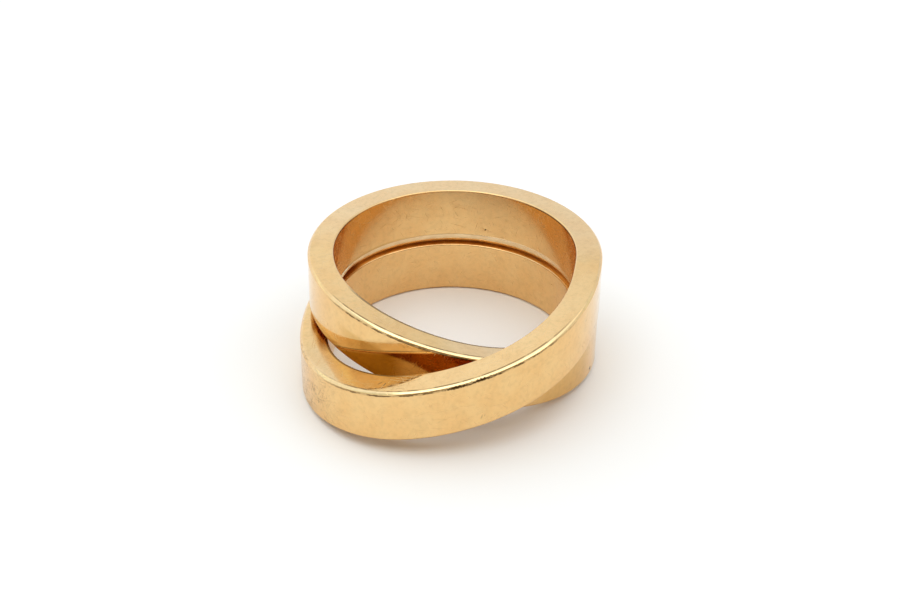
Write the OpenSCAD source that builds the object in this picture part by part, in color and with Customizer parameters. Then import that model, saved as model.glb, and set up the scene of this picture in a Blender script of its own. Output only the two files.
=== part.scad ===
// Crossover finger ring. One flat strip winds round the finger twice and closes on itself.
// The two turns lie one above the other at the back. At the front the upper turn comes down
// against the finger while the lower one swings out, climbs over it and takes its place.
// The origin is the centre of the finger hole. Z is the hole's axis and the crossing faces -Y.
// Angles are counted in degrees from -Y, positive towards +X.

/* [Finger hole] */
// Inside diameter, a size that is 52 mm round the inside
bore_d = 16.55; // [14:0.05:22]

/* [Strip] */
// Thickness of the strip, from the finger outwards
strip_t = 1.8; // [1.4:0.05:2.4]
// Width of the strip, along the finger
strip_w = 3.8; // [3:0.1:4.5]
// Space between the two turns where they run level
turn_gap = 0.7; // [0.4:0.05:1]
// Bevel of the outer edges
outer_bevel = 0.2; // [0.1:0.05:0.3]
// Bevel of the inner edge on the upper side
rim_bevel = 0.1; // [0.05:0.05:0.2]
// Bevel of the inner edge on the lower side
lip_bevel = 0.2; // [0.1:0.05:0.3]

/* [Inner arm] */
// Half of the angle over which the inner arm comes down
drop_span = 135; // [110:1:140]
// How far before the front its slope is centred
drop_centre = 9.5; // [0:0.5:12]
// Softness of the slope's two ends
drop_ease = 2.54; // [2:0.01:2.8]

/* [Outer arm] */
// Half of the angle over which the outer arm climbs
climb_span = 68; // [60:0.5:72]
// How far past the front its slope is centred
climb_centre = 0; // [0:0.5:5]
// Softness of the slope's two ends
climb_ease = 1.25; // [1.1:0.05:2]
// How much more than a flat strip it widens where it slopes
climb_spread = 1.47; // [1:0.01:1.6]
// How far its inner wall swings out from the finger hole
swing_inside = 3.32; // [3:0.01:3.6]
// How far its outer wall swings out
swing_outside = 3.14; // [2.8:0.01:3.4]
// How far its top slopes down outwards there
top_lean = 0.27; // [0:0.01:0.35]
// Where it leaves the circle of the finger hole
swing_from = -113; // [-120:1:-105]
// Where it stands out farthest
swing_peak = -29; // [-40:1:-25]
// Where it is back on the circle
swing_to = 66; // [64:1:72]
// Softness on the way out
swing_out_ease = 1.7; // [1.4:0.1:2.2]
// Softness on the way back
swing_back_ease = 1.1; // [1.05:0.05:1.6]

/* [Solder seam] */
// Depth of the open groove between the turns, on the inside
groove_depth = 0.9; // [0.6:0.05:1.1]
// Where the seam begins, right of the crossing
seam_from = 45; // [40:1:50]
// Where it ends, past the back on the left
seam_to = 235; // [225:1:240]

/* [Hidden] */

gold = [0.91, 0.74, 0.46];
bore_r = bore_d / 2;
wall_r = bore_r + strip_t;
climb = strip_w + turn_gap;
ring_h = 2 * strip_w + turn_gap;
// The inner arm's slope, from level above to level below
drop_from = -drop_centre - drop_span;
drop_to = -drop_centre + drop_span;
// The outer arm's climb, from level below to level above
climb_from = climb_centre - climb_span;
climb_to = climb_centre + climb_span;
station_step = 4;
// The outer arm's two ends run on into the inner arm's at the back by lap degrees.
// It is smaller by lap_step on every side, so that they sit inside the metal there
lap = 4;
lap_step = 0.02;
seam_bite = outer_bevel + 0.05;
wall_margin = 0.5;
$fn = 180;

// Runs from 0 to 1 with soft ends, softer for a larger e
function ease(u, e) =
    let (v = min(max(u, 0), 1))
    pow(v, e) / (pow(v, e) + pow(1 - v, e));

// Middle height of the inner arm, from the upper turn down to the lower one
function inner_mid(a) = climb * (0.5 - ease((a - drop_from) / (drop_to - drop_from), drop_ease));

// Middle height of the outer arm, from the lower turn up to the upper one
function outer_mid(a) = climb * (ease((a - climb_from) / (climb_to - climb_from), climb_ease) - 0.5);

// How far the outer arm has swung out, as a share of its farthest
function swing(a) =
    a < swing_peak
        ? ease((a - swing_from) / (swing_peak - swing_from), swing_out_ease)
        : ease((swing_to - a) / (swing_to - swing_peak), swing_back_ease);

// Half of the strip's upright height, which grows a little where it slopes
function half_height(rise, run) = strip_w / 2 * sqrt(1 + pow(rise / run, 2));

function inner_half(a) = half_height(inner_mid(a + 1) - inner_mid(a - 1), 2 * PI / 180 * (bore_r + strip_t / 2));
function outer_half(a) =
    half_height(climb_spread * (outer_mid(a + 1) - outer_mid(a - 1)), 2 * PI / 180 * wall_r);

// Evenly spaced angles from one angle to another
function stations(from, to) =
    let (n = ceil((to - from) / station_step))
    [for (i = [0 : n]) from + (to - from) * i / n];

// The strip's section as radius and height, widened past both walls by grow.
// Its outer top edge is lower than the inner one by lean
function section(r_in, r_out, z_mid, half, grow, lean) =
    let (z_low = z_mid - half, z_high = z_mid + half, z_edge = z_high - lean)
    [
        [r_in - grow, z_low + lip_bevel + grow],
        [r_in + lip_bevel, z_low],
        [r_out - outer_bevel, z_low],
        [r_out + grow, z_low + outer_bevel + grow],
        [r_out + grow, z_edge - outer_bevel - grow],
        [r_out - outer_bevel, z_edge],
        [r_in + rim_bevel, z_high],
        [r_in - grow, z_high - rim_bevel - grow]
    ];

// A solid through one section for each angle
module sweep(angles, sections) {
    m = len(sections[0]);
    n = len(angles);
    points = [
        for (i = [0 : n - 1], p = sections[i])
            [p.x * sin(angles[i]), -p.x * cos(angles[i]), p.y]
    ];
    sides = [
        for (i = [0 : n - 2], j = [0 : m - 1])
            let (a = i * m + j, b = i * m + (j + 1) % m)
            each [[a, b, b + m], [a, b + m, a + m]]
    ];
    first = [for (j = [1 : m - 2]) [0, j + 1, j]];
    last = [for (j = [1 : m - 2]) [0, j, j + 1] + (n - 1) * m * [1, 1, 1]];
    polyhedron(points = points, faces = concat(first, sides, last));
}

// The arm against the finger, cut from a true tube
module inner_arm() {
    angles = stations(-180, 180);
    intersection() {
        difference() {
            cylinder(r = wall_r, h = ring_h + 2 * wall_margin, center = true);
            cylinder(r = bore_r, h = ring_h + 4 * wall_margin, center = true);
        }
        sweep(angles, [
            for (a = angles)
                section(bore_r, wall_r, inner_mid(a), inner_half(a), wall_margin, 0)
        ]);
    }
}

// The arm that swings out and climbs over the other
module outer_arm() {
    angles = stations(-180 - lap, 180 + lap);
    sweep(angles, [
        for (a = angles)
            let (r_in = bore_r + lap_step + swing_inside * swing(a))
            let (r_out = wall_r - lap_step + swing_outside * swing(a))
            section(r_in, r_out, outer_mid(a), outer_half(a) - lap_step, 0, top_lean * swing(a))
    ]);
}

// Solder between the two turns, all but flush outside and set back inside
module solder_seam() {
    rotate([0, 0, seam_from - 90])
        rotate_extrude(angle = seam_to - seam_from)
            translate([bore_r + groove_depth, -turn_gap / 2 - seam_bite])
                square([strip_t - groove_depth - lap_step / 2, turn_gap + 2 * seam_bite]);
}

module crossover_band() {
    color(gold)
    union() {
        union() {
            inner_arm();
            solder_seam();
        }
        outer_arm();
    }
}

crossover_band();
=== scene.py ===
# Crossover finger ring in polished yellow gold, lying on a pale studio floor.
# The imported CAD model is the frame: origin at the centre of the finger hole, Z up, crossing towards -Y.
import math

import bpy
from mathutils import Matrix, Vector


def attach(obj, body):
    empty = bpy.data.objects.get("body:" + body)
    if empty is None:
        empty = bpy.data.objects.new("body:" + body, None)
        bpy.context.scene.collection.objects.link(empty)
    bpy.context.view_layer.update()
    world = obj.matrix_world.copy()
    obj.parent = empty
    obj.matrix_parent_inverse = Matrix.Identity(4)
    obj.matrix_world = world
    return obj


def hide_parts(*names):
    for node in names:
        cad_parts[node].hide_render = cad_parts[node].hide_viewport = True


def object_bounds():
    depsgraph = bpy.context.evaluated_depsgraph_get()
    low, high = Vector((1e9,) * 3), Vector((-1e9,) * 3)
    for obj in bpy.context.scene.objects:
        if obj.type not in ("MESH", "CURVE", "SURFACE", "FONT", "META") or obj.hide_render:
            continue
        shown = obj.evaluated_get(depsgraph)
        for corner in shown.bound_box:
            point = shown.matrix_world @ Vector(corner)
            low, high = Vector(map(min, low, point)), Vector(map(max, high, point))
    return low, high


mm = 0.001
quarterTurn = math.radians(90)

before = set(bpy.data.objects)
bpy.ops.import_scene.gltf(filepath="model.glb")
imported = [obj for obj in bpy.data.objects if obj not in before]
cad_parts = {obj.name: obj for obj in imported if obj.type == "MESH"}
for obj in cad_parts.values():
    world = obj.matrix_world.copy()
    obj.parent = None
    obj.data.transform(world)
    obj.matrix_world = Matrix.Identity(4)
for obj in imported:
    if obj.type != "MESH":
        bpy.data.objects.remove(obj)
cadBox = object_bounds()
floorHeight = cadBox[0].z
print("frame loaded:", sorted(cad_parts))


# Small helpers for building node trees

def plug(tree, socket, value):
    if isinstance(value, bpy.types.NodeSocket):
        tree.links.new(value, socket)
    else:
        socket.default_value = value


def addNode(tree, kind, inputs, **settings):
    node = tree.nodes.new(kind)
    for name, value in settings.items():
        setattr(node, name, value)
    for key, value in inputs.items():
        plug(tree, node.inputs[key], value)
    return node.outputs


def calc(tree, operation, *values):
    return addNode(tree, "ShaderNodeMath", dict(enumerate(values)), operation=operation)[0]


def fold(tree, operation, *values):
    result = values[0]
    for value in values[1:]:
        result = calc(tree, operation, result, value)
    return result


def oneMinus(tree, value):
    return calc(tree, "SUBTRACT", 1.0, value)


def blend(tree, share, first, second):
    return calc(tree, "MULTIPLY_ADD", share, calc(tree, "SUBTRACT", second, first), first)


def split(tree, vector):
    return addNode(tree, "ShaderNodeSeparateXYZ", {0: vector})


def join(tree, x, y, z=0.0):
    return addNode(tree, "ShaderNodeCombineXYZ", {"X": x, "Y": y, "Z": z})[0]


def newGroup(name, sizes, results, resultKind="NodeSocketFloat"):
    tree = bpy.data.node_groups.new(name, "GeometryNodeTree")
    for key, value in sizes.items():
        kind = "NodeSocketInt" if isinstance(value, int) else "NodeSocketFloat"
        tree.interface.new_socket(key, in_out="INPUT", socket_type=kind).default_value = value
    for key in results:
        tree.interface.new_socket(key, in_out="OUTPUT", socket_type=resultKind)
    return tree, tree.nodes.new("NodeGroupInput").outputs, tree.nodes.new("NodeGroupOutput").inputs


def useGroup(tree, name, **values):
    return addNode(tree, "GeometryNodeGroup", values, node_tree=bpy.data.node_groups[name])


def spreadNodes(tree):
    for index, node in enumerate(tree.nodes):
        node.location = (index // 8 * 220, -(index % 8) * 190)


# Both pieces start as a flat sheet whose points are set round the finger hole

weldDistance = 0.0005 * mm


def addSheet(tree, columns, rows):
    sheet = addNode(tree, "GeometryNodeMeshGrid", {
        "Vertices X": calc(tree, "ADD", columns, 1.0), "Vertices Y": calc(tree, "ADD", rows, 1.0)})
    place = split(tree, addNode(tree, "GeometryNodeInputPosition", {})[0])
    return sheet, calc(tree, "ADD", place["X"], 0.5), calc(tree, "ADD", place["Y"], 0.5)


def ontoCircle(tree, reach, height, angle):      # from millimetres and degrees to metres
    turn = calc(tree, "RADIANS", angle)
    reach = calc(tree, "MULTIPLY", reach, mm)
    backward = calc(tree, "MULTIPLY", reach, -1.0)
    return join(tree, calc(tree, "MULTIPLY", reach, calc(tree, "SINE", turn)),
                calc(tree, "MULTIPLY", backward, calc(tree, "COSINE", turn)),
                calc(tree, "MULTIPLY", height, mm))


def finishSheet(tree, mesh, stripMap, spot, material):
    mapped = addNode(tree, "GeometryNodeStoreNamedAttribute", {
        "Geometry": mesh, "Name": "stripMap", "Value": stripMap}, data_type="FLOAT2", domain="CORNER")
    moved = addNode(tree, "GeometryNodeSetPosition", {"Geometry": mapped[0], "Position": spot})
    merged = addNode(tree, "GeometryNodeMergeByDistance", {"Geometry": moved[0], "Distance": weldDistance})
    smooth = addNode(tree, "GeometryNodeSetShadeSmooth", {"Geometry": merged[0]})
    real = addNode(tree, "GeometryNodeRealizeInstances", {"Geometry": smooth[0]})
    return addNode(tree, "GeometryNodeSetMaterial", {"Geometry": real[0], "Material": material})[0]


def growMesh(name, tree, sizes):
    carrier = bpy.data.objects.new(name + "Carrier", bpy.data.meshes.new(name + "Carrier"))
    bpy.context.scene.collection.objects.link(carrier)
    modifier = carrier.modifiers.new(name, "NODES")
    modifier.node_group = tree
    for item in tree.interface.items_tree:
        if item.in_out == "INPUT" and item.name in sizes:
            modifier[item.identifier] = sizes[item.name]
    bpy.context.view_layer.update()
    depsgraph = bpy.context.evaluated_depsgraph_get()
    mesh = bpy.data.meshes.new_from_object(carrier.evaluated_get(depsgraph), depsgraph=depsgraph)
    bpy.data.objects.remove(carrier)
    piece = bpy.data.objects.new(name, mesh)
    bpy.context.scene.collection.objects.link(piece)
    return piece


# The strip: one flat gold strip that winds round the finger twice, in millimetres and degrees.
# Angles count from the front, positive to the right

stripSizes = {
    "boreDiameter": 16.55,
    "stripThickness": 1.8,
    "stripWidth": 3.8,
    "turnGap": 0.7,
    "frontThin": 0.12,       # the inner arm is a little thinner at the front
    "dropCentre": -9.5,      # and comes down across it
    "dropSpan": 135.0,
    "dropEase": 2.54,
    "climbCentre": 0.0,      # the outer arm climbs over it
    "climbSpan": 68.0,
    "climbEase": 1.25,
    "climbSpread": 1.47,     # it widens more where it slopes than a flat strip would
    "swingInside": 3.14,     # how far the outer arm stands out
    "swingOutside": 3.14,
    "swingFrom": -113.0,
    "swingInsideFrom": -108.0,
    "swingPeak": -29.0,
    "swingTo": 66.0,
    "swingOutEase": 1.7,
    "swingBackEase": 1.1,
    "topLean": 0.27,         # how far its top slopes down outwards there
    "outerRound": 0.18,      # roundings of the four long edges
    "bevelShape": 1.6,       # 1 for a round outer edge, 2 for a flat bevel
    "rimRound": 0.1,
    "lipRound": 0.25,
    "footRound": 0.18,
    "edgeLoop": 0.05,        # support loops that keep the flats flat
    "mapRound": 0.36,        # length that the map gives to a rounding
    "mapLoop": 0.15,         # and the share of it for a support loop
    "stations": 960,
    "cornerPoints": 12,
}
windingDegrees = 720.0       # the strip winds twice round
startDegrees = -180.0        # from the back


def buildSoftStep():
    sizes = {"share": 0.5, "softness": 2.0, "fade": 0.07}
    tree, size, result = newGroup("softStep", sizes, ("eased",))
    fadeSquare = calc(tree, "MULTIPLY", size["fade"], size["fade"])
    sides = []
    for side in (size["share"], oneMinus(tree, size["share"])):
        # nothing below 0, and no corner where it leaves 0
        slant = calc(tree, "SQRT", calc(tree, "ADD", calc(tree, "MULTIPLY", side, side), fadeSquare))
        positive = calc(tree, "MULTIPLY", calc(tree, "ADD", side, slant), 0.5)
        sides.append(calc(tree, "POWER", positive, size["softness"]))
    plug(tree, result["eased"], calc(tree, "DIVIDE", sides[0], calc(tree, "ADD", *sides)))
    spreadNodes(tree)


def buildArmHeight():
    sizes = {"angle": 0.0, "centre": 0.0, "span": 90.0, "softness": 2.0, "climb": 4.5}
    tree, size, result = newGroup("armHeight", sizes, ("middle",))
    travelled = calc(tree, "ADD", calc(tree, "SUBTRACT", size["angle"], size["centre"]), size["span"])
    share = calc(tree, "DIVIDE", travelled, calc(tree, "MULTIPLY", size["span"], 2.0))
    eased = useGroup(tree, "softStep", share=share, softness=size["softness"])["eased"]
    middle = calc(tree, "MULTIPLY", size["climb"], calc(tree, "SUBTRACT", 0.5, eased))
    plug(tree, result["middle"], middle)
    spreadNodes(tree)


def buildArmRise():
    sizes = {"angle": 0.0, "centre": 0.0, "span": 90.0, "softness": 2.0, "climb": 4.5,
             "radius": 9.0, "width": 3.8, "spread": 1.0}
    tree, size, result = newGroup("armRise", sizes, ("middle", "half"))
    shape = {key: size[key] for key in ("centre", "span", "softness", "climb")}
    here, after, before = (
        useGroup(tree, "armHeight", angle=calc(tree, "ADD", size["angle"], degrees), **shape)["middle"]
        for degrees in (0.0, 1.0, -1.0))
    run = calc(tree, "MULTIPLY", size["radius"], math.radians(2))
    slope = calc(tree, "DIVIDE", calc(tree, "SUBTRACT", after, before), run)
    slope = calc(tree, "MULTIPLY", slope, size["spread"])
    stretch = calc(tree, "SQRT", calc(tree, "MULTIPLY_ADD", slope, slope, 1.0))
    plug(tree, result["middle"], here)
    plug(tree, result["half"], calc(tree, "MULTIPLY", stretch, calc(tree, "DIVIDE", size["width"], 2.0)))
    spreadNodes(tree)


def buildSwing():
    sizes = {"angle": 0.0, "from": -113.0, "peak": -29.0, "to": 66.0, "outEase": 1.7, "backEase": 1.1}
    tree, size, result = newGroup("swing", sizes, ("share",))
    outward = calc(tree, "DIVIDE", calc(tree, "SUBTRACT", size["angle"], size["from"]),
                   calc(tree, "SUBTRACT", size["peak"], size["from"]))
    backward = calc(tree, "DIVIDE", calc(tree, "SUBTRACT", size["to"], size["angle"]),
                    calc(tree, "SUBTRACT", size["to"], size["peak"]))
    leaving = useGroup(tree, "softStep", share=outward, softness=size["outEase"])["eased"]
    returning = useGroup(tree, "softStep", share=backward, softness=size["backEase"])["eased"]
    plug(tree, result["share"], calc(tree, "MULTIPLY", leaving, returning))
    spreadNodes(tree)


def stripAngle(tree, share):
    return calc(tree, "ADD", calc(tree, "MULTIPLY", share, windingDegrees), startDegrees)


def bevelled(tree, value, shape):
    return calc(tree, "MULTIPLY", calc(tree, "SIGN", value), calc(
        tree, "POWER", calc(tree, "ABSOLUTE", value), shape))


def buildStripTree(material):
    tree, size, result = newGroup("crossoverStrip", stripSizes, ("strip",), "NodeSocketGeometry")

    # A sheet that runs along the strip, twice round the finger, and round its section
    sectionPoints = calc(tree, "MULTIPLY", size["cornerPoints"], 4.0)
    sheet, along, around = addSheet(tree, size["stations"], sectionPoints)
    firstOuter = calc(tree, "ADD", calc(tree, "DIVIDE", 0.25, size["stations"]), 0.5)
    isOuter = calc(tree, "GREATER_THAN", along, firstOuter)
    isInner = oneMinus(tree, isOuter)
    angle = stripAngle(tree, calc(tree, "SUBTRACT", along, calc(tree, "MULTIPLY", isOuter, 0.5)))

    # Where the two arms run at that angle
    boreRadius = calc(tree, "DIVIDE", size["boreDiameter"], 2.0)
    wallRadius = calc(tree, "ADD", boreRadius, size["stripThickness"])
    midRadius = calc(tree, "ADD", boreRadius, calc(tree, "DIVIDE", size["stripThickness"], 2.0))
    climb = calc(tree, "ADD", size["stripWidth"], size["turnGap"])
    inner = useGroup(tree, "armRise", angle=angle, centre=size["dropCentre"], span=size["dropSpan"],
                     softness=size["dropEase"], climb=climb, radius=midRadius, width=size["stripWidth"])
    outer = useGroup(tree, "armRise", angle=angle, centre=size["climbCentre"], span=size["climbSpan"],
                     softness=size["climbEase"], climb=calc(tree, "MULTIPLY", climb, -1.0),
                     radius=wallRadius, width=size["stripWidth"], spread=size["climbSpread"])
    middle = blend(tree, isOuter, inner["middle"], outer["middle"])
    half = blend(tree, isOuter, inner["half"], outer["half"])
    swings = []
    for start in ("swingFrom", "swingInsideFrom"):
        share = useGroup(tree, "swing", **{
            "angle": angle, "from": size[start], "peak": size["swingPeak"], "to": size["swingTo"],
            "outEase": size["swingOutEase"], "backEase": size["swingBackEase"]})["share"]
        swings.append(calc(tree, "MULTIPLY", share, isOuter))
    swung, swungInside = swings
    innerWall = calc(tree, "MULTIPLY_ADD", swungInside, size["swingInside"], boreRadius)
    outerWall = calc(tree, "MULTIPLY_ADD", swung, size["swingOutside"], wallRadius)
    facing = calc(tree, "MULTIPLY_ADD", calc(tree, "COSINE", calc(tree, "RADIANS", angle)), 0.5, 0.5)
    thinned = fold(tree, "MULTIPLY", facing, facing, size["frontThin"], isInner)
    outerWall = calc(tree, "SUBTRACT", outerWall, thinned)

    # The section: four corners in turn, from the upper outer one over the inside and back. Each has
    # a support loop before and after its rounding, and the point after those starts the next corner
    cornerPlace = calc(tree, "MULTIPLY", around, 4.0)
    passed = calc(tree, "FLOOR", calc(tree, "ADD", cornerPlace, 0.001))      # a hair more, against rounding
    passed = calc(tree, "MINIMUM", passed, 3.0)
    step = calc(tree, "ROUND", calc(tree, "MULTIPLY", calc(
        tree, "SUBTRACT", cornerPlace, passed), size["cornerPoints"]))
    lastStep = calc(tree, "SUBTRACT", size["cornerPoints"], 1.0)
    isLast = calc(tree, "LESS_THAN", calc(tree, "ABSOLUTE", calc(tree, "SUBTRACT", step, lastStep)), 0.5)
    isNext = calc(tree, "GREATER_THAN", step, calc(tree, "SUBTRACT", size["cornerPoints"], 0.5))
    isFirst = calc(tree, "MAXIMUM", calc(tree, "LESS_THAN", step, 0.5), isNext)
    atLoop = calc(tree, "SUBTRACT", isLast, isFirst)
    passed = calc(tree, "ADD", passed, isNext)
    corner = calc(tree, "FLOORED_MODULO", passed, 4.0)
    step = calc(tree, "MULTIPLY", step, oneMinus(tree, isNext))
    arcShare = calc(tree, "DIVIDE", calc(tree, "SUBTRACT", step, 1.0), calc(tree, "SUBTRACT", lastStep, 2.0))
    arcShare = calc(tree, "MAXIMUM", calc(tree, "MINIMUM", arcShare, 1.0), 0.0)
    turn = calc(tree, "MULTIPLY", calc(tree, "ADD", corner, arcShare), quarterTurn)
    cornerTurn = calc(tree, "MULTIPLY", calc(tree, "ADD", corner, 0.5), quarterTurn)
    sideOut = calc(tree, "SIGN", calc(tree, "COSINE", cornerTurn))
    sideUp = calc(tree, "SIGN", calc(tree, "SINE", cornerTurn))
    isOutside = calc(tree, "GREATER_THAN", sideOut, 0.0)
    isUpper = calc(tree, "GREATER_THAN", sideUp, 0.0)
    roundOut = blend(tree, isUpper, size["footRound"], size["outerRound"])
    roundIn = blend(tree, isUpper, size["lipRound"], size["rimRound"])
    rounding = blend(tree, isOutside, roundIn, roundOut)
    wall = blend(tree, isOutside, innerWall, outerWall)
    cosine = calc(tree, "COSINE", turn)
    sine = calc(tree, "SINE", turn)
    bevel = blend(tree, isOutside, 1.0, size["bevelShape"])
    centreOut = calc(tree, "SUBTRACT", wall, calc(tree, "MULTIPLY", sideOut, rounding))
    centreUp = calc(tree, "MULTIPLY_ADD", sideUp, calc(tree, "SUBTRACT", half, rounding), middle)
    centreUp = calc(tree, "SUBTRACT", centreUp, fold(
        tree, "MULTIPLY", isOutside, isUpper, size["topLean"], swung))
    reach = calc(tree, "MULTIPLY_ADD", rounding, bevelled(tree, cosine, bevel), centreOut)
    height = calc(tree, "MULTIPLY_ADD", rounding, bevelled(tree, sine, bevel), centreUp)
    slide = calc(tree, "MULTIPLY", atLoop, size["edgeLoop"])
    reach = calc(tree, "SUBTRACT", reach, calc(tree, "MULTIPLY", slide, sine))
    height = calc(tree, "ADD", height, calc(tree, "MULTIPLY", slide, cosine))

    # A map in millimetres: along the strip, and round its section from the upper outer edge
    halfPassed = calc(tree, "MULTIPLY", passed, 0.5)
    flats = calc(tree, "ADD", calc(tree, "MULTIPLY", calc(tree, "CEIL", halfPassed), size["stripThickness"]),
                 calc(tree, "MULTIPLY", calc(tree, "FLOOR", halfPassed), size["stripWidth"]))
    onArc = calc(tree, "ADD", calc(tree, "SUBTRACT", arcShare, 0.5), calc(
        tree, "MULTIPLY", atLoop, size["mapLoop"]))
    mapRound = calc(tree, "ADD", flats, calc(tree, "MULTIPLY", onArc, size["mapRound"]))
    mapAlong = calc(tree, "MULTIPLY", stripAngle(tree, along), calc(tree, "RADIANS", midRadius))
    plug(tree, result["strip"], finishSheet(tree, sheet["Mesh"], join(tree, mapAlong, mapRound),
                                            ontoCircle(tree, reach, height, angle), material))
    spreadNodes(tree)
    return tree


# The solder between the two turns. Inside it is a round lip under the upper turn, which leaves
# a groove over the lower one, and outside it is all but flush. In millimetres and degrees

solderSizes = {
    "boreDiameter": stripSizes["boreDiameter"],
    "stripThickness": stripSizes["stripThickness"],
    "grooveDepth": 0.9,
    "lipTop": 0.58,          # height at which the lip leaves the inner wall
    "lipEndTop": 0.35,
    "lipFoot": -0.37,        # and at which it meets the lower turn
    "lipSink": 0.003,
    "outsideStep": 0.015,
    "outsideHalf": 0.42,
    "seamFrom": 47.0,
    "seamTo": 249.0,
    "outsideTo": 241.0,      # where the gap opens outside, at the left
    "runOut": 7.0,           # it thins to nothing at both ends over these degrees
    "runOutEase": 1.1,
    "lipRunOut": 14.0,
    "lipRunOutEase": 1.4,
    "stations": 320,
    "rows": 20,
}


def fadeFrom(tree, degrees, runOut, softness):
    share = calc(tree, "DIVIDE", degrees, runOut)
    return useGroup(tree, "softStep", share=share, softness=softness)["eased"]


def buildSolderTree(material):
    tree, size, result = newGroup("solderSeam", solderSizes, ("seam",), "NodeSocketGeometry")
    sheet, along, around = addSheet(tree, size["stations"], calc(tree, "MULTIPLY", size["rows"], 2.0))
    angle = blend(tree, along, size["seamFrom"], size["seamTo"])

    # Thinner towards its two ends, where it closes to a line
    fromStart = calc(tree, "SUBTRACT", angle, size["seamFrom"])
    toEnd, toOpening = (
        calc(tree, "MINIMUM", fromStart, calc(tree, "SUBTRACT", size[end], angle))
        for end in ("seamTo", "outsideTo"))
    full = fadeFrom(tree, toEnd, size["runOut"], size["runOutEase"])
    outsideFull = fadeFrom(tree, toOpening, size["runOut"], size["lipRunOutEase"])
    pastRunOut = calc(tree, "SUBTRACT", toEnd, size["runOut"])
    lipFull = fadeFrom(tree, pastRunOut, size["lipRunOut"], size["lipRunOutEase"])

    # Up its inner face, a quarter round, and down its outer one
    onOuter = calc(tree, "GREATER_THAN", around, 0.5001)
    upShare = calc(tree, "MULTIPLY", around, 2.0)
    downShare = calc(tree, "SUBTRACT", 2.0, upShare)
    tilt = calc(tree, "MULTIPLY", oneMinus(tree, upShare), quarterTurn)
    lipTop = blend(tree, lipFull, size["lipEndTop"], size["lipTop"])
    lipHeight = blend(tree, calc(tree, "SINE", tilt), lipTop, size["lipFoot"])
    outsideHeight = calc(tree, "MULTIPLY", size["outsideHalf"], calc(
        tree, "MULTIPLY_ADD", downShare, 2.0, -1.0))
    height = blend(tree, onOuter, lipHeight, outsideHeight)
    boreRadius = calc(tree, "ADD", calc(tree, "DIVIDE", size["boreDiameter"], 2.0), size["lipSink"])
    wallRadius = calc(tree, "ADD", boreRadius, size["stripThickness"])
    outside = calc(tree, "SUBTRACT", wallRadius, size["outsideStep"])
    inside = calc(tree, "MULTIPLY_ADD", oneMinus(tree, calc(tree, "COSINE", tilt)), size["grooveDepth"],
                  boreRadius)
    deepest = calc(tree, "ADD", boreRadius, size["grooveDepth"])
    middle = calc(tree, "MULTIPLY", calc(tree, "ADD", deepest, outside), 0.5)
    reach = blend(tree, onOuter, blend(tree, full, middle, inside),
                  blend(tree, outsideFull, middle, outside))
    plug(tree, result["seam"], finishSheet(tree, sheet["Mesh"], sheet["UV Map"],
                                           ontoCircle(tree, reach, height, angle), material))
    spreadNodes(tree)
    return tree


# Helpers for the materials. Lengths are in millimetres and heights in thousandths of one

bumpUnit = 0.001 * mm


def newMaterial(name):
    material = bpy.data.materials.new(name)
    material.use_nodes = True
    return material, material.node_tree.nodes["Principled BSDF"]


def readObjectPlace(tree):
    place = addNode(tree, "ShaderNodeTexCoord", {})["Object"]
    return addNode(tree, "ShaderNodeVectorMath", {0: place, "Scale": 1 / mm}, operation="SCALE")[0]


def readStripMap(tree):
    return split(tree, addNode(tree, "ShaderNodeUVMap", {}, uv_map="stripMap")[0])


def mapRange(tree, value, low, high, toLow=0.0, toHigh=1.0):
    return addNode(tree, "ShaderNodeMapRange", {
        "Value": value, "From Min": low, "From Max": high, "To Min": toLow, "To Max": toHigh},
        interpolation_type="SMOOTHSTEP")["Result"]


def window(tree, value, low, high, soft):
    rising = mapRange(tree, value, low - soft, low + soft)
    falling = mapRange(tree, value, high - soft, high + soft, 1.0, 0.0)
    return calc(tree, "MULTIPLY", rising, falling)


def noise(tree, vector, length, detail, flat=False):
    return addNode(tree, "ShaderNodeTexNoise", {"Vector": vector, "Scale": 1 / length, "Detail": detail},
                   noise_dimensions="2D" if flat else "3D")["Fac"]


def stretched(tree, vector, start, degrees, scale):
    return addNode(tree, "ShaderNodeMapping", {
        "Vector": vector, "Location": (*start, 0.0), "Rotation": (0.0, 0.0, math.radians(degrees)),
        "Scale": (*scale, 1.0)}, vector_type="TEXTURE")[0]


def mixColours(tree, share, first, second):
    return addNode(tree, "ShaderNodeMix", {"Factor": share, "A": first, "B": second},
                   data_type="RGBA")["Result"]


def addBump(tree, shader, height):
    bump = addNode(tree, "ShaderNodeBump", {"Height": height, "Strength": 1.0, "Distance": bumpUnit})
    plug(tree, shader.inputs["Normal"], bump["Normal"])


# Polished yellow gold

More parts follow.
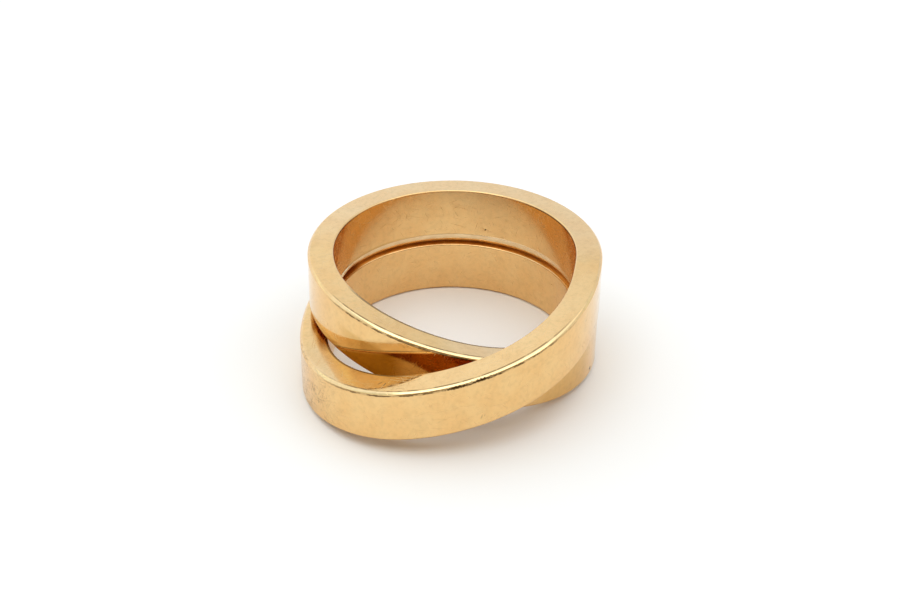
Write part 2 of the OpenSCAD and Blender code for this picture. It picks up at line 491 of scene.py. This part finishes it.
goldSizes = {
    "colour": (0.855, 0.555, 0.238, 1.0),
    "rosyColour": (0.845, 0.525, 0.222, 1.0),
    "paleColour": (0.865, 0.590, 0.275, 1.0),
    # a painted highlight colour for the bright edge round the front
    "edgeHighlightColour": (0.91, 0.66, 0.32, 1.0),
    # painted shade colours for the zones below where light hardly gets in
    "shadeBrownColour": (0.58, 0.33, 0.075, 1.0),
    "gapShadeColour": (0.52, 0.27, 0.035, 1.0),
    "deepColour": (0.44, 0.18, 0.03, 1.0),
    # for scratches, dings and marks, and also for the painted dark lines along the edges
    "markAndPaintedLineColour": (0.08, 0.04, 0.01, 1.0),
    "insideRoughness": 0.09,     # how much rougher it is against the finger
    "wave": 1.1,                 # length of the slow waves that polishing leaves
    "waveHeight": 1.3,
    "grain": 0.16,
    "grainHeight": 0.30,
    "grainTone": 0.5,
    "brushLength": 7.0,          # faint lines along the strip
    "brushWidth": 0.07,
    "brushHeight": 0.22,
    "scratchLength": 1.5,
    "scratchWidth": 0.06,
    "scratchFrom": 0.79,         # a scratch shows where the noise is above this
    "scratchWorn": 0.10,         # or this much less where the gold is worn
    "scratchEdge": 0.08,
    "scratchDepth": 1.1,
    "scratchDark": 0.06,
    "scratchDarkWorn": 0.42,
    "scratchRoughness": 0.22,
    "fleckDepth": 3.0,
    "fleckDark": 0.5,
    "dingSpacing": 1.5,
    "dingRadius": 0.144,         # of the largest
    "dingFrom": 0.8,             # a cell has a ding where its random number is above this
    "dingWorn": 0.45,            # with this much added where the gold is worn
    "dingFlat": 0.3,
    "dingDepth": 7.0,
    "dingDark": 0.3,
    # how dark the painted lines are; they stand in for dark reflections and shade along the edges
    "hairlineDark": 0.65,
    "edgeLineDark": 0.85,
    "edgeWobble": 0.10,          # sideways, over this length
    "edgeWobbleLength": 0.22,
    "rimLineDark": 0.7,
    "wallLineDark": 0.75,
    "markRagged": 1.1,
    "markGrain": 0.09,
    "markFrom": 0.6,             # a mark fades between these shares of its half size
    "markTo": 1.1,
    "zoneSoftAlong": 0.8,
    "zoneSoftRound": 0.15,
}

# Patterns of soft noise: length and detail, the part of the noise that counts, and what it gives
goldPatches = {
    "tone": (1.7, 3.0, 0.32, 0.68, 0.0, 1.0),
    "worn": (1.4, 2.0, 0.34, 0.56, 0.4, 1.0),
    "brokenLine": (0.5, 3.0, 0.36, 0.56, 0.35, 1.0),
    "fleck": (0.13, 1.0, 0.61, 0.74, 0.0, 1.0),
    "mottle": (0.3, 3.0, 0.4, 0.75, 0.0, 0.085),
    "smudge": (0.9, 4.0, 0.5, 0.72, 0.0, 0.05),
    "roughness": (2.3, 4.0, 0.38, 0.66, 0.045, 0.13),
}

# Stretches along the strip, across it or round its section: from, to, and the softness of both ends
goldSpans = {
    "worn": (45.2, 49.7, 1.5),              # the outer arm's left front is scratched and dinted more
    "lowerWall": (7.5, 9.6, 0.2),
    "upperWall": (-2.2, 0.1, 0.1),
    "beneathCrossing": (-9.0, 1.0, 1.0),
    "beneathWall": (7.6, 10.6, 0.3),
    "innerFront": (-9.8, 0.6, 1.6),
    "outerFront": (50.0, 62.6, 2.2),
    "paintedHighlightEdge": (-0.08, 0.15, 0.03),       # painted highlight: the bright edge round the front
    "hairline": (0.185, 0.305, 0.02),       # a painted dark reflection line where the top meets that edge
    "edgeLine": (-0.275, -0.125, 0.025),    # and a ragged painted one where the edge meets the outer wall
    "rimLine": (1.52, 1.72, 0.02),          # another painted dark line, of shade, along the edge over the hole
    "innerOverHole": (-10.0, 3.0, 1.5),
    "outerOverHole": (44.0, 53.5, 1.0),
    "wallLine": (1.86, 2.04, 0.03),         # and a painted shade line at the hole's left and right, just inside it
    "leftSide": (-21.0, -9.0, 2.0),
    "rightSide": (65.0, 79.0, 2.0),
    "fingerWall": (2.1, 5.3, 0.15),
    "standingOut": (36.0, 66.0, 2.0),
}

# Fine scratches in four directions: turn, share of their length, and where the pattern starts
scratchLayers = (
    (72, 0.8, (3.0, 1.11)),
    (-58, 0.7, (11.0, 4.07)),
    (20, 1.0, (23.0, 8.51)),
    (-14, 1.5, (37.0, 13.69)),
)

# Painted shade: where light hardly gets in, the gold's colour is darkened to brown in its place: from and to
# along the strip, from and to round it, how much and to which colour
paintedShadeZones = {
    "standingWall": (43.5, 52.4, 2.0, 5.4, 1.0, "gapShadeColour"),
    "standingWallEnd": (52.4, 55.5, 2.0, 5.4, 0.4, "shadeBrownColour"),
    "wallByGap": (-9.0, -4.2, 7.9, 9.7, 0.4, "gapShadeColour"),
    "underCrossing": (-13.0, 3.0, 5.6, 8.0, 0.7, "shadeBrownColour"),
    "lowerRight": (4.0, 9.0, 7.2, 11.0, 0.42, "shadeBrownColour"),
    "topByGap": (46.0, 53.0, 0.3, 1.9, 0.3, "shadeBrownColour"),
    "topLeftEnd": (36.0, 45.2, 0.72, 1.9, 0.95, "deepColour"),
    "topLeftRim": (44.5, 47.2, 1.1, 1.9, 0.95, "deepColour"),
    "underLeft": (-26.0, -13.0, 5.4, 7.6, 0.9, "shadeBrownColour"),
}

# Single marks on the strip: place along it and across it, half length, half width, turn, depth and darkness
goldMarks = {
    "sidePit": (9.7, 7.9, 0.2, 0.14, 10, 6.0, 1.0),
    "seamSpot": (66.6, 7.9, 0.11, 0.06, 0, 12.0, 0.8),
    "innerDot": (82.37, 4.93, 0.08, 0.08, 0, 10.0, 0.9),
    "frontTick": (57.45, 8.2, 0.17, 0.035, 75, 4.0, 0.4),
    "frontTickBeside": (57.6, 8.25, 0.12, 0.03, 75, 4.0, 0.3),
    "edgeNick": (56.3, -0.16, 0.75, 0.14, 0, 22.0, 1.0),
    "edgeNickMiddle": (57.4, -0.13, 0.65, 0.14, 0, 22.0, 1.0),
    "edgeNickEnd": (58.2, -0.15, 0.4, 0.08, -3, 16.0, 0.9),
    "topFleck": (52.5, 0.93, 0.16, 0.04, 60, 1.0, 0.6),
    "topFleckBeside": (52.75, 0.84, 0.18, 0.04, 80, 1.0, 0.6),
    "leftGouge": (48.35, -1.55, 0.28, 0.05, -60, 9.0, 0.6),
    "leftGougeBeside": (48.6, -1.75, 0.24, 0.05, -60, -7.0, 0.0),
}


def patches(tree, vector, name, flat=False):
    length, detail, low, high, toLow, toHigh = goldPatches[name]
    return mapRange(tree, noise(tree, vector, length, detail, flat), low, high, toLow, toHigh)


def within(tree, value, *names):
    return fold(tree, "MAXIMUM", *[window(tree, value, *goldSpans[name]) for name in names])


def addScratches(tree, place, worn):
    size = goldSizes
    threshold = calc(tree, "MULTIPLY_ADD", worn, -size["scratchWorn"], size["scratchFrom"])
    layers = []
    for degrees, length, start in scratchLayers:
        scale = (size["scratchLength"] * length, size["scratchWidth"])
        streaks = noise(tree, stretched(tree, place, start, degrees, scale), 1.0, 0.0, True)
        layers.append(mapRange(tree, streaks, threshold, calc(tree, "ADD", threshold, size["scratchEdge"])))
    return fold(tree, "MAXIMUM", *layers)


def addDings(tree, spot, worn):
    size = goldSizes
    cells = addNode(tree, "ShaderNodeTexVoronoi", {"Vector": spot, "Scale": 1 / size["dingSpacing"]})
    chance = addNode(tree, "ShaderNodeSeparateColor", {0: cells["Color"]})
    likely = calc(tree, "MULTIPLY_ADD", worn, size["dingWorn"], chance["Red"])
    chosen = calc(tree, "GREATER_THAN", likely, size["dingFrom"])
    reach = calc(tree, "MULTIPLY", chance["Green"], size["dingRadius"] / size["dingSpacing"])
    flat = calc(tree, "MULTIPLY", reach, size["dingFlat"])
    return calc(tree, "MULTIPLY", chosen, mapRange(tree, cells["Distance"], flat, reach, 1.0, 0.0))


# Painted dark lines: shade and dark reflections drawn along the front edge, along the rim over the hole and
# just inside it
def addPaintedDarkLines(tree, place, along, across, front):
    size = goldSizes
    hairline = calc(tree, "MULTIPLY", within(tree, across, "hairline"), size["hairlineDark"])
    wobble = calc(tree, "MULTIPLY_ADD", noise(tree, place, size["edgeWobbleLength"], 2.0, True),
                  size["edgeWobble"], -size["edgeWobble"] / 2)
    wobbling = calc(tree, "ADD", across, wobble)
    edgeLine = calc(tree, "MULTIPLY", within(tree, wobbling, "edgeLine"), size["edgeLineDark"])
    broken = patches(tree, place, "brokenLine", True)
    atEdge = fold(tree, "MULTIPLY", front, broken, calc(tree, "ADD", hairline, edgeLine))
    atRim = fold(tree, "MULTIPLY", within(tree, across, "rimLine"),
                 within(tree, along, "innerOverHole", "outerOverHole"), size["rimLineDark"])
    atWall = fold(tree, "MULTIPLY", within(tree, across, "wallLine"),
                  within(tree, along, "leftSide", "rightSide"), size["wallLineDark"])
    return fold(tree, "MAXIMUM", atEdge, atRim, atWall)


def addMark(tree, place, mark):
    size = goldSizes
    along, across, halfLength, halfWidth, degrees, depth, darkness = mark
    turned = stretched(tree, place, (along, across), degrees, (halfLength, halfWidth))
    away = addNode(tree, "ShaderNodeVectorMath", {0: turned}, operation="LENGTH")["Value"]
    rough = calc(tree, "SUBTRACT", noise(tree, place, size["markGrain"], 1.0, True), 0.5)
    ragged = calc(tree, "ADD", away, calc(tree, "MULTIPLY", rough, size["markRagged"]))
    inside = mapRange(tree, ragged, size["markFrom"], size["markTo"], 1.0, 0.0)
    return calc(tree, "MULTIPLY", inside, depth), calc(tree, "MULTIPLY", inside, darkness)


def makeGold():
    size = goldSizes
    material, shader = newMaterial("polishedGold")
    tree = material.node_tree
    spot = readObjectPlace(tree)
    stripMap = readStripMap(tree)
    along = stripMap["X"]
    around = stripMap["Y"]
    mapLength = 2 * (stripSizes["stripThickness"] + stripSizes["stripWidth"])
    wallMiddle = mapLength - stripSizes["stripWidth"] / 2
    # across counts down from the edge on the outer wall's upper half
    across = calc(tree, "MULTIPLY_ADD", calc(tree, "GREATER_THAN", around, wallMiddle), -mapLength, around)
    place = join(tree, along, across)

    # Slow waves, fine grain and faint lines along the strip
    wave = noise(tree, spot, size["wave"], 1.0)
    grain = noise(tree, spot, size["grain"], 2.0)
    brushScale = (size["brushLength"], size["brushWidth"])
    brush = noise(tree, stretched(tree, place, (0.0, 0.0), 0.0, brushScale), 1.0, 1.0, True)

    # Scratches and small dings, more of them on the worn left front and no scratches beneath the crossing
    onWall = within(tree, across, "lowerWall", "upperWall")
    worn = fold(tree, "MULTIPLY", within(tree, along, "worn"), onWall, patches(tree, place, "worn", True))
    covered = calc(tree, "MULTIPLY", within(tree, along, "beneathCrossing"),
                   within(tree, around, "beneathWall"))
    scratch = calc(tree, "MULTIPLY", addScratches(tree, place, worn), oneMinus(tree, covered))
    ding = addDings(tree, spot, worn)
    fleck = calc(tree, "MULTIPLY", patches(tree, spot, "fleck"), worn)

    # Painted dark lines, which stand in for dark reflections and shade along the edges, and single marks
    front = within(tree, along, "innerFront", "outerFront")
    lines = addPaintedDarkLines(tree, place, along, across, front)
    depths, darknesses = zip(*[addMark(tree, place, mark) for mark in goldMarks.values()])
    markDepth = fold(tree, "ADD", *depths)
    markAndPaintedLineDark = fold(tree, "MAXIMUM", lines, *darknesses)

    # Colour: two tones in patches, painted shade in brown where it is dark, a painted highlight on the
    # bright edge, the wear, and the painted dark lines
    tone = mixColours(tree, patches(tree, spot, "tone"), size["rosyColour"], size["paleColour"])
    fineTone = calc(tree, "MULTIPLY_ADD", calc(tree, "SUBTRACT", grain, 0.5), size["grainTone"], 0.5)
    tone = mixColours(tree, fineTone, tone, size["colour"])
    # painted shade: each zone is darkened towards its shade colour
    for alongFrom, alongTo, roundFrom, roundTo, share, colour in paintedShadeZones.values():
        shadeShare = fold(tree, "MULTIPLY", window(tree, along, alongFrom, alongTo, size["zoneSoftAlong"]),
                       window(tree, around, roundFrom, roundTo, size["zoneSoftRound"]), share)
        tone = mixColours(tree, shadeShare, tone, size[colour])
    # painted highlight: the bright front edge is paled towards the edge colour
    edgeHighlightShare = calc(tree, "MULTIPLY", within(tree, across, "paintedHighlightEdge"), front)
    tone = mixColours(tree, edgeHighlightShare, tone, size["edgeHighlightColour"])
    scratchDark = blend(tree, worn, size["scratchDark"], size["scratchDarkWorn"])
    spoiled = calc(tree, "MULTIPLY", ding, size["dingDark"])
    spoiled = calc(tree, "MULTIPLY_ADD", scratch, scratchDark, spoiled)
    spoiled = calc(tree, "MULTIPLY_ADD", fleck, size["fleckDark"], spoiled)
    spoiled = calc(tree, "ADD", spoiled, calc(
        tree, "ADD", patches(tree, spot, "mottle"), patches(tree, spot, "smudge")))
    # the wear darkens it, and so do the painted dark lines
    tone = mixColours(tree, calc(tree, "MAXIMUM", spoiled, markAndPaintedLineDark), tone, size["markAndPaintedLineColour"])
    plug(tree, shader.inputs["Base Color"], tone)
    shader.inputs["Metallic"].default_value = 1.0

    # Roughness: patches, scratches and marks, and duller against the finger
    marred = calc(tree, "MULTIPLY", calc(tree, "MAXIMUM", scratch, markAndPaintedLineDark), size["scratchRoughness"])
    rough = calc(tree, "ADD", patches(tree, spot, "roughness"), marred)
    atFinger = calc(tree, "MULTIPLY", within(tree, around, "fingerWall"),
                    oneMinus(tree, within(tree, along, "standingOut")))
    rough = calc(tree, "MULTIPLY_ADD", atFinger, size["insideRoughness"], rough)
    plug(tree, shader.inputs["Roughness"], rough)

    height = 0.0
    for pattern, amount in (
            (wave, size["waveHeight"]), (grain, size["grainHeight"]), (brush, size["brushHeight"]),
            (scratch, -size["scratchDepth"]), (ding, -size["dingDepth"]), (fleck, -size["fleckDepth"]),
            (markDepth, -1.0)):
        height = calc(tree, "MULTIPLY_ADD", pattern, amount, height)
    addBump(tree, shader, height)
    spreadNodes(tree)
    return material


# The solder's colours are pale as a painted highlight on the lip, and palest deep in the groove as painted
# light against its shade;
# it is less polished in the groove, and polished with the strip outside

solderGoldSizes = {
    # painted light: colour and darkColour are pale to stand in for the lip's highlight, and deepColour paler
    # still against the groove's shade
    "colour": (0.93, 0.74, 0.46, 1.0),
    "darkColour": (0.86, 0.65, 0.38, 1.0),
    "deepColour": (1.0, 0.86, 0.64, 1.0),
    "outsideColour": (0.855, 0.56, 0.245, 1.0),
    "ripple": 0.6,
    "rippleRange": (0.35, 0.65),
    "grain": 0.14,
    "grainRange": (0.3, 0.7),
    "height": 0.5,
    "roughness": 0.12,
    "dullRoughness": 0.26,
    "deepRoughness": 0.55,
    "outsideRoughness": 0.09,
    "deepRange": (0.08, 0.30),       # on the map, which goes up the lip and down the outside
    "outsideRange": (0.5, 0.53),
}


def makeSolderGold():
    size = solderGoldSizes
    material, shader = newMaterial("solderGold")
    tree = material.node_tree
    spot = readObjectPlace(tree)
    around = readStripMap(tree)["Y"]
    ripple = noise(tree, spot, size["ripple"], 3.0)
    grain = noise(tree, spot, size["grain"], 2.0)
    # painted light: deep in the groove the colour is paled towards the deep colour
    deep = mapRange(tree, around, *size["deepRange"], 1.0, 0.0)
    outside = mapRange(tree, around, *size["outsideRange"])
    tone = mixColours(tree, mapRange(tree, ripple, *size["rippleRange"]), size["darkColour"], size["colour"])
    tone = mixColours(tree, deep, tone, size["deepColour"])
    plug(tree, shader.inputs["Base Color"], mixColours(tree, outside, tone, size["outsideColour"]))
    shader.inputs["Metallic"].default_value = 1.0
    rough = mapRange(tree, grain, *size["grainRange"], size["roughness"], size["dullRoughness"])
    rough = blend(tree, deep, rough, size["deepRoughness"])
    plug(tree, shader.inputs["Roughness"], blend(tree, outside, rough, size["outsideRoughness"]))
    addBump(tree, shader, calc(tree, "MULTIPLY", calc(tree, "ADD", ripple, grain), size["height"]))
    spreadNodes(tree)
    return material


# Floor, light and camera

floorSizes = {
    "side": 1200.0,
    "colour": (0.90, 0.86, 0.77, 1.0),
    "roughness": 0.6,
}


def makeFloor():
    side = floorSizes["side"] * mm / 2
    corners = [(-side, -side, floorHeight), (side, -side, floorHeight),
               (side, side, floorHeight), (-side, side, floorHeight)]
    mesh = bpy.data.meshes.new("floor")
    mesh.from_pydata(corners, [], [(0, 1, 2, 3)])
    floor = bpy.data.objects.new("floor", mesh)
    bpy.context.scene.collection.objects.link(floor)
    material, shader = newMaterial("paleFloor")
    shader.inputs["Base Color"].default_value = floorSizes["colour"]
    shader.inputs["Roughness"].default_value = floorSizes["roughness"]
    shader.inputs["Specular IOR Level"].default_value = 0.0
    mesh.materials.append(material)


studioSizes = {
    "turn": -9.87,           # the studio faces the camera
    "strengthLeft": 1.08,
    "strengthRight": 0.89,
    "strengthFrom": -0.3,    # it changes from one to the other between these, sideways
    "strengthTo": 0.28,
    "frontShift": 0.12,      # the dark space in front and the lamp over it lie a little to the right
    "frontHalf": 0.58,       # and reach this far sideways
    "frontEdge": 0.7,
    "front": (               # degrees from the front over the top to the back, and the light's colour there
        (0, (0.70, 0.67, 0.62)),
        (16, (0.68, 0.64, 0.58)),
        (24, (0.30, 0.27, 0.21)),
        (50, (0.34, 0.31, 0.25)),
        (56, (2.5, 2.5, 2.6)),
        (71, (2.5, 2.5, 2.6)),
        (77, (1.5, 1.65, 1.9)),
        (108, (1.5, 1.65, 1.9)),
        (122, (1.0, 1.13, 1.37)),
        (142, (1.0, 1.06, 1.15)),
        (146, (0.98, 1.06, 1.15)),
        (151, (0.98, 1.11, 1.40)),
        (180, (0.97, 1.10, 1.40)),
    ),
    "sides": (
        (0, (0.95, 1.05, 1.20)),
        (30, (0.95, 1.05, 1.20)),
        (40, (0.75, 0.78, 0.78)),
        (62, (0.75, 0.78, 0.78)),
        (78, (0.98, 1.08, 1.24)),
        (120, (0.98, 1.08, 1.26)),
        (135, (1.10, 1.32, 1.45)),
        (150, (0.98, 1.08, 1.30)),
        (180, (0.98, 1.08, 1.34)),
    ),
}


def lightRamp(tree, over, bands):
    ramp = tree.nodes.new("ShaderNodeValToRGB")
    plug(tree, ramp.inputs["Fac"], calc(tree, "DIVIDE", over, math.pi))
    stops = ramp.color_ramp.elements
    for (degrees, colour), stop in zip((bands[0], bands[-1]), (stops[0], stops[-1])):
        stop.position = degrees / 180
        stop.color = (*colour, 1.0)
    for degrees, colour in bands[1:-1]:
        stops.new(degrees / 180).color = (*colour, 1.0)
    return ramp.outputs["Color"]


def makeWorld():
    size = studioSizes
    world = bpy.data.worlds.new("studio")
    bpy.context.scene.world = world
    world.use_nodes = True
    tree = world.node_tree
    light = tree.nodes["Background"]
    direction = split(tree, addNode(tree, "ShaderNodeTexCoord", {})["Generated"])
    cosine = math.cos(math.radians(size["turn"]))
    sine = math.sin(math.radians(size["turn"]))
    away = calc(tree, "MULTIPLY_ADD", direction["X"], -sine, calc(tree, "MULTIPLY", direction["Y"], cosine))
    aside = calc(tree, "MULTIPLY_ADD", direction["X"], cosine, calc(tree, "MULTIPLY", direction["Y"], sine))
    over = calc(tree, "ARCTAN2", direction["Z"], calc(tree, "MULTIPLY", away, -1.0))
    fromFront = calc(tree, "ABSOLUTE", calc(tree, "SUBTRACT", aside, size["frontShift"]))
    toSide = mapRange(tree, fromFront, size["frontHalf"], size["frontEdge"])
    plug(tree, light.inputs["Color"], mixColours(
        tree, toSide, lightRamp(tree, over, size["front"]), lightRamp(tree, over, size["sides"])))
    plug(tree, light.inputs["Strength"], mapRange(tree, aside, size["strengthFrom"], size["strengthTo"],
                                                  size["strengthLeft"], size["strengthRight"]))
    spreadNodes(tree)


cameraSizes = {
    "distance": 110.12,      # from the point it aims at, on the ring's axis
    "aimHeight": 4.0,        # of that point above the floor
    "elevation": 31.76,
    "turn": -9.87,           # round the ring from the front, to the left
    "roll": 0.7,
    "focal": 1576.83,        # in pixels of the 900 wide frame
    "aimColumn": 454.06,
    "aimRow": 300.62,
    "sensor": 36.0,
    "frameWidth": 900.0,
    "frameHeight": 600.0,
    "nearest": 0.001,        # what it sees, in metres
    "farthest": 10.0,
}


def makeCamera():
    size = cameraSizes
    elevation = math.radians(size["elevation"])
    turn = math.radians(size["turn"])
    aim = Vector((0.0, 0.0, floorHeight + size["aimHeight"] * mm))
    back = Vector((math.cos(elevation) * math.sin(turn), -math.cos(elevation) * math.cos(turn),
                   math.sin(elevation)))
    right = Vector((math.cos(turn), math.sin(turn), 0.0))
    level = Matrix((right, back.cross(right), back)).transposed().to_4x4()
    pose = level @ Matrix.Rotation(math.radians(size["roll"]), 4, "Z")
    pose.translation = aim + back * size["distance"] * mm
    data = bpy.data.cameras.new("camera")
    data.sensor_width = size["sensor"]
    data.lens = size["focal"] / size["frameWidth"] * size["sensor"]
    data.shift_x = (size["frameWidth"] / 2 - size["aimColumn"]) / size["frameWidth"]
    data.shift_y = (size["aimRow"] - size["frameHeight"] / 2) / size["frameWidth"]
    data.clip_start = size["nearest"]
    data.clip_end = size["farthest"]
    camera = bpy.data.objects.new("camera", data)
    camera.matrix_world = pose
    bpy.context.scene.collection.objects.link(camera)
    bpy.context.scene.camera = camera


makeCamera()
makeWorld()
makeFloor()
print("camera, studio and floor made")
gold = makeGold()
solderGold = makeSolderGold()
print("gold and solder materials made")
buildSoftStep()
buildArmHeight()
buildArmRise()
buildSwing()
ring = growMesh("goldStrip", buildStripTree(gold), stripSizes)
print("strip:", len(ring.data.polygons), "faces")
seam = growMesh("solderSeam", buildSolderTree(solderGold), solderSizes)
print("solder:", len(seam.data.polygons), "faces")
for piece in (ring, seam):
    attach(piece, "root")
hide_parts("crossover_band")

bpy.context.scene.view_settings.view_transform = "Standard"
bpy.context.scene.cycles.glossy_bounces = 10    # light winds in between the two arms
